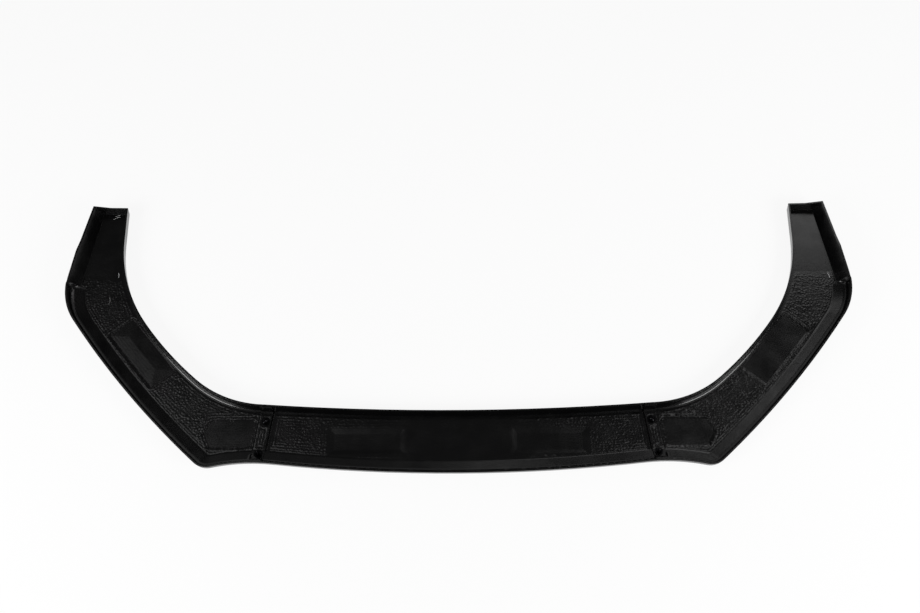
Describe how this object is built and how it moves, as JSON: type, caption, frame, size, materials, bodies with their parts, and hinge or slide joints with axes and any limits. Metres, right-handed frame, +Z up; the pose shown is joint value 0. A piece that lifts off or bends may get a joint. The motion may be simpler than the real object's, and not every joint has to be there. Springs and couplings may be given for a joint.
{
  "type": "front splitter lip",
  "caption": "Wide U-shaped front splitter lip for a car bumper: moulded plastic trays with lapped, screwed joints, a sloped front edge and arms that sweep back to fins.",
  "frame": {"origin": "on the ground under the middle of the bounding box", "axes": "+X to the lip's right seen from above with the front edge nearest, +Y from the front edge to the ends of the arms, +Z up out of the hollow side"},
  "size_m": [1.7448, 0.638, 0.037],
  "materials": {
    "moulding": "gloss black ABS, rough tool marks on the inside floor",
    "fasteners": "black zinc"
  },
  "bodies": {
    "root": {"centre_section": "moulding", "left_section": "moulding", "right_section": "moulding", "left_joint_screws": "fasteners", "left_joint_washers": "fasteners", "left_joint_nuts": "fasteners", "right_joint_screws": "fasteners", "right_joint_washers": "fasteners", "right_joint_nuts": "fasteners"}
  },
  "joints": []
}
